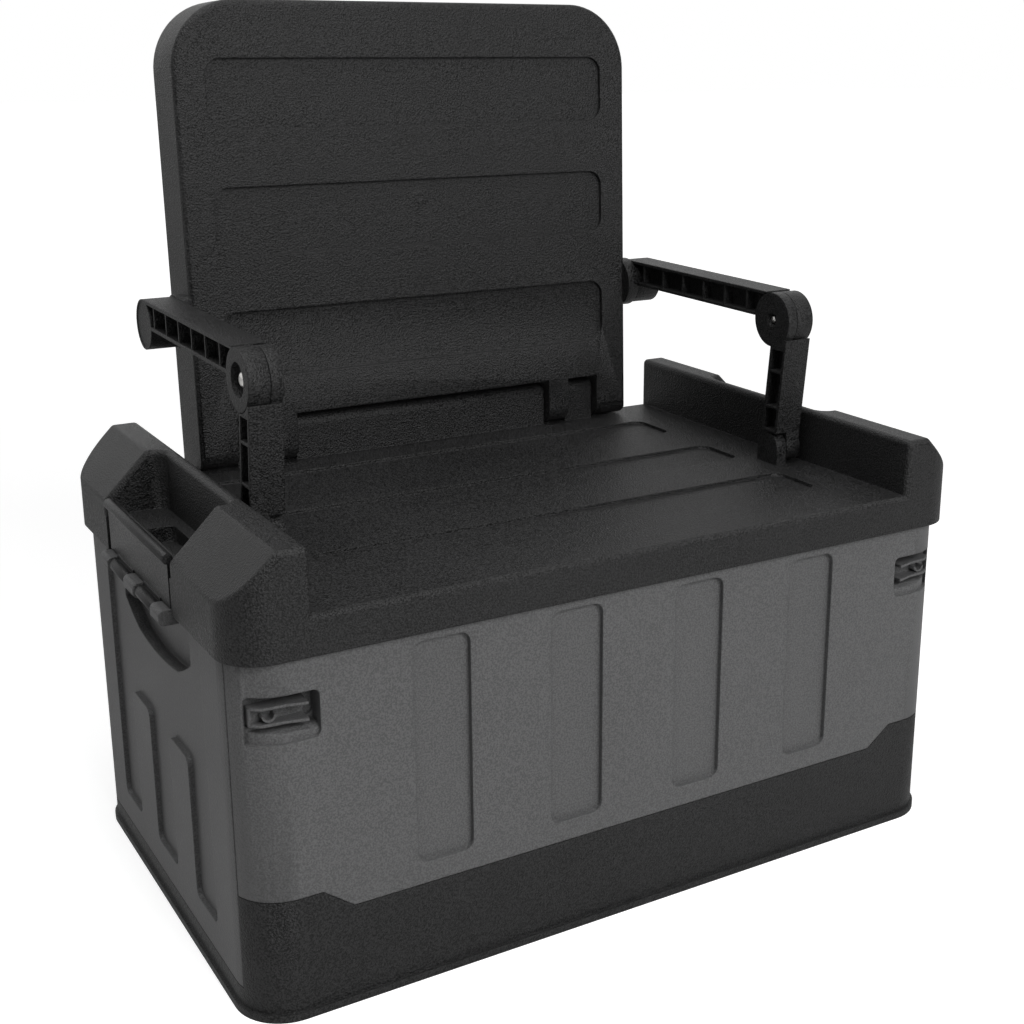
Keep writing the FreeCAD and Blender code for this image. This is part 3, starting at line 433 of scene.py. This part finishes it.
class SEATBOX_OT_rods(bpy.types.Operator):
    """Hinge rods and pins"""
    bl_idname = "seatbox.rods"
    bl_label = "Rods and pins"

    def execute(self, context):
        for node in RODS:
            paint(node, MATERIALS["steel"])
        return {"FINISHED"}


class SEATBOX_OT_screws(bpy.types.Operator):
    """Domed screws at the elbows of the armrests"""
    bl_idname = "seatbox.screws"
    bl_label = "Elbow screws"

    def execute(self, context):
        for side, s in SIDES:
            low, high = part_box(side + "_elbow_screw")
            # the shank starts at the tip, and the head sits on the seat
            y, z = (low[1] + high[1]) / 2, (low[2] + high[2]) / 2
            tip, head = sorted((abs(low[0]), abs(high[0])))
            seat = head - 3.4 * MM
            mesh = lathe([(0, tip), (1.2 * MM, tip + 0.15 * MM), (2.1 * MM, tip + 0.6 * MM),
                          (2.6 * MM, tip + 1.3 * MM), (2.7 * MM, tip + 2.2 * MM), (2.7 * MM, seat),
                          (5.1 * MM, seat), (5.3 * MM, seat + 0.5 * MM), (5.1 * MM, seat + 1.4 * MM),
                          (4.3 * MM, seat + 2.4 * MM), (2.9 * MM, seat + 3.1 * MM), (0, seat + 3.35 * MM)],
                         (0, y, z), (s, 0, 0))
            piece = mesh_object(side + "_domed_screw", mesh, MATERIALS["steel"], side + "_arm")
            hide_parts(side + "_elbow_screw")
        return {"FINISHED"}


class SEATBOX_OT_gate_mark(bpy.types.Operator):
    """The small round mark that the mould's gate left on the front of the backrest"""
    bl_idname = "seatbox.gate_mark"
    bl_label = "Gate mark"

    def execute(self, context):
        joints = frame["record"]["behaviour"]["joints"]
        hinge = next(j for j in joints if j["name"] == "backrest_fold")["pos_m"]
        up = Vector((0, math.sin(BACK_LEAN), math.cos(BACK_LEAN)))
        out = Vector((0, -math.cos(BACK_LEAN), math.sin(BACK_LEAN)))
        spot = Vector(hinge) + up * GATE_UP + out * GATE_OUT
        mesh = lathe([(9.5 * MM, -0.1 * MM), (7 * MM, 0.15 * MM), (4.5 * MM, 0.55 * MM),
                      (3.2 * MM, 0.75 * MM), (2.2 * MM, 0.6 * MM), (1.2 * MM, 0.2 * MM),
                      (0, 0.1 * MM)], spot, out, 40)
        mesh_object("gate_mark", mesh, MATERIALS["black"], "backrest")
        return {"FINISHED"}


class SEATBOX_OT_ejector_marks(bpy.types.Operator):
    """The round marks of the mould's ejector pins, one in each cell under the base"""
    bl_idname = "seatbox.ejector_marks"
    bl_label = "Ejector marks"

    def execute(self, context):
        (columns, rows), (long, wide) = CELLS, CELL_FIELD
        mesh = marks_mesh({
            "Columns": columns, "Rows": rows, "Column Pitch": long / columns, "Row Pitch": wide / rows,
            "Radius": 4 * MM, "Height": 0.6 * MM, "Finish": MATERIALS["black"]}, (0, 0, CELL_ROOF))
        mesh_object("ejector_marks", mesh, MATERIALS["black"], "crate")
        return {"FINISHED"}


class SEATBOX_OT_stage(bpy.types.Operator):
    """Floor, light and camera"""
    bl_idname = "seatbox.stage"
    bl_label = "Stage"

    def execute(self, context):
        scene = context.scene
        s = scene.seatbox
        self.floor()
        self.surround(scene, s)
        self.lamp(scene, "front_light", s.key, (1.6, 1.3), (0.35, -2.1, 1.5), (0, 0, 0.2))
        self.lamp(scene, "top_light", s.top, (1.3, 1.3), (-0.45, -0.25, 2.5), (0, 0, 0.3))
        scene.view_settings.view_transform = "Standard"
        self.camera(scene)
        return {"FINISHED"}

    def floor(self):
        """A wide pale floor."""
        bpy.ops.mesh.primitive_plane_add(size=30, location=(0, 0, 0))
        floor = bpy.context.object
        floor.name = "floor"
        paper = Finish("paper")
        paper.surface(Base_Color=paper.mix(paper.noise(3.0), (0.60, 0.60, 0.60), (0.62, 0.62, 0.62)),
                      Roughness=0.95, Specular_IOR_Level=0.1)
        seen, mirrored = self.background_rays(paper)
        # the lamps don't reach the far floor, so its glow grows with the distance from the box
        far = paper.add("ShaderNodeVectorMath", {"operation": "LENGTH"}, {0: paper.place}, "Value")
        glow = paper.add("ShaderNodeEmission", None, {
            "Color": (1, 1, 1, 1),
            "Strength": seen * (far.between(0.8, 3.5) * 0.34 + 0.66) + mirrored * 0.2})
        lit = paper.add("ShaderNodeAddShader", None, {0: Wire(paper, paper.shader.outputs[0]), 1: glow})
        paper.feed(paper.tree.nodes["Material Output"].inputs["Surface"], lit)
        floor.data.materials.append(paper.material)

    def surround(self, scene, s):
        """Even light from all round, white where the camera sees it."""
        world = bpy.data.worlds.new("surround")
        scene.world = world
        world.use_nodes = True
        sky = Sheet(world.node_tree)
        back = world.node_tree.nodes["Background"]
        back.inputs["Color"].default_value = (1, 1, 1, 1)
        seen, mirrored = self.background_rays(sky)
        # a mirror sees the white backdrop behind the box and the darker room in front of it
        heading = sky.add("ShaderNodeSeparateXYZ", None, {
            "Vector": sky.add("ShaderNodeTexCoord", output="Generated")}, "Y").between(-0.35, 0.55)
        sky.feed(back.inputs["Strength"],
                 seen * (1 - s.sky) + mirrored * (heading * (1 - s.room) + (s.room - s.sky)) + s.sky)

    @staticmethod
    def background_rays(sheet):
        """1 for rays that the camera sees straight or through glass, and 1 for mirrored rays."""
        node = sheet.tree.nodes.new("ShaderNodeLightPath")
        straight, glossy, through = (Wire(sheet, node.outputs[n]) for n in (
            "Is Camera Ray", "Is Glossy Ray", "Is Transmission Ray"))
        return straight.at_least(through), glossy

    @staticmethod
    def lamp(scene, name, power, size, at, to):
        data = bpy.data.lights.new(name, "AREA")
        data.energy = power
        data.shape = "RECTANGLE"
        data.size, data.size_y = size
        obj = bpy.data.objects.new(name, data)
        obj.location = at
        obj.rotation_euler = (Vector(to) - Vector(at)).to_track_quat("-Z", "Y").to_euler()
        scene.collection.objects.link(obj)

    @staticmethod
    def camera(scene):
        """The camera, solved from straight edges of the photograph."""
        right = Vector((0.8552162, -0.5182654, 0.0024875))
        ahead = Vector((0.4986306, 0.8214880, -0.2766317))
        up = Vector((0.1413252, 0.2378202, 0.9609728))
        offset = Vector((-41.5808, 1185.0420, -258.1689)) * MM
        place = -(right * offset[0] + ahead * offset[1] + up * offset[2])
        data = bpy.data.cameras.new("camera")
        data.sensor_width = SENSOR
        data.lens = FOCUS / PHOTO * SENSOR
        data.shift_x = (PHOTO / 2 - CENTRE[0]) / PHOTO
        data.shift_y = (CENTRE[1] - PHOTO / 2) / PHOTO
        data.clip_start = 0.05
        cam = bpy.data.objects.new("camera", data)
        turn = Matrix((right, up, -ahead)).transposed().to_4x4()
        cam.matrix_world = Matrix.Translation(place) @ turn
        scene.collection.objects.link(cam)
        scene.camera = cam


OPERATORS = (SEATBOX_OT_finishes, SEATBOX_OT_mouldings, SEATBOX_OT_walls, SEATBOX_OT_armrests,
             SEATBOX_OT_clasps, SEATBOX_OT_latches, SEATBOX_OT_rods, SEATBOX_OT_screws, SEATBOX_OT_gate_mark,
             SEATBOX_OT_ejector_marks, SEATBOX_OT_stage)


class SEATBOX_PT_panel(bpy.types.Panel):
    """Sizes, colours and the steps of the seat box"""
    bl_label = "Seat box"
    bl_idname = "SEATBOX_PT_panel"
    bl_space_type = "VIEW_3D"
    bl_region_type = "UI"
    bl_category = "Seat box"

    def draw(self, context):
        for name in SeatBoxSettings.__annotations__:
            self.layout.prop(context.scene.seatbox, name)
        for operator in OPERATORS:
            self.layout.operator(operator.bl_idname)


CLASSES = (SeatBoxSettings,) + OPERATORS + (SEATBOX_PT_panel,)


def register():
    for c in CLASSES:
        bpy.utils.register_class(c)
    bpy.types.Scene.seatbox = bpy.props.PointerProperty(type=SeatBoxSettings)


def unregister():
    del bpy.types.Scene.seatbox
    for c in reversed(CLASSES):
        bpy.utils.unregister_class(c)


def main():
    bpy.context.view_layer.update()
    register()
    bpy.ops.seatbox.finishes()
    bpy.ops.seatbox.mouldings()
    bpy.ops.seatbox.walls()
    bpy.ops.seatbox.armrests()
    bpy.ops.seatbox.clasps()
    bpy.ops.seatbox.latches()
    bpy.ops.seatbox.rods()
    bpy.ops.seatbox.screws()
    bpy.ops.seatbox.gate_mark()
    bpy.ops.seatbox.ejector_marks()
    bpy.ops.seatbox.stage()


if __name__ == "__main__":
    main()
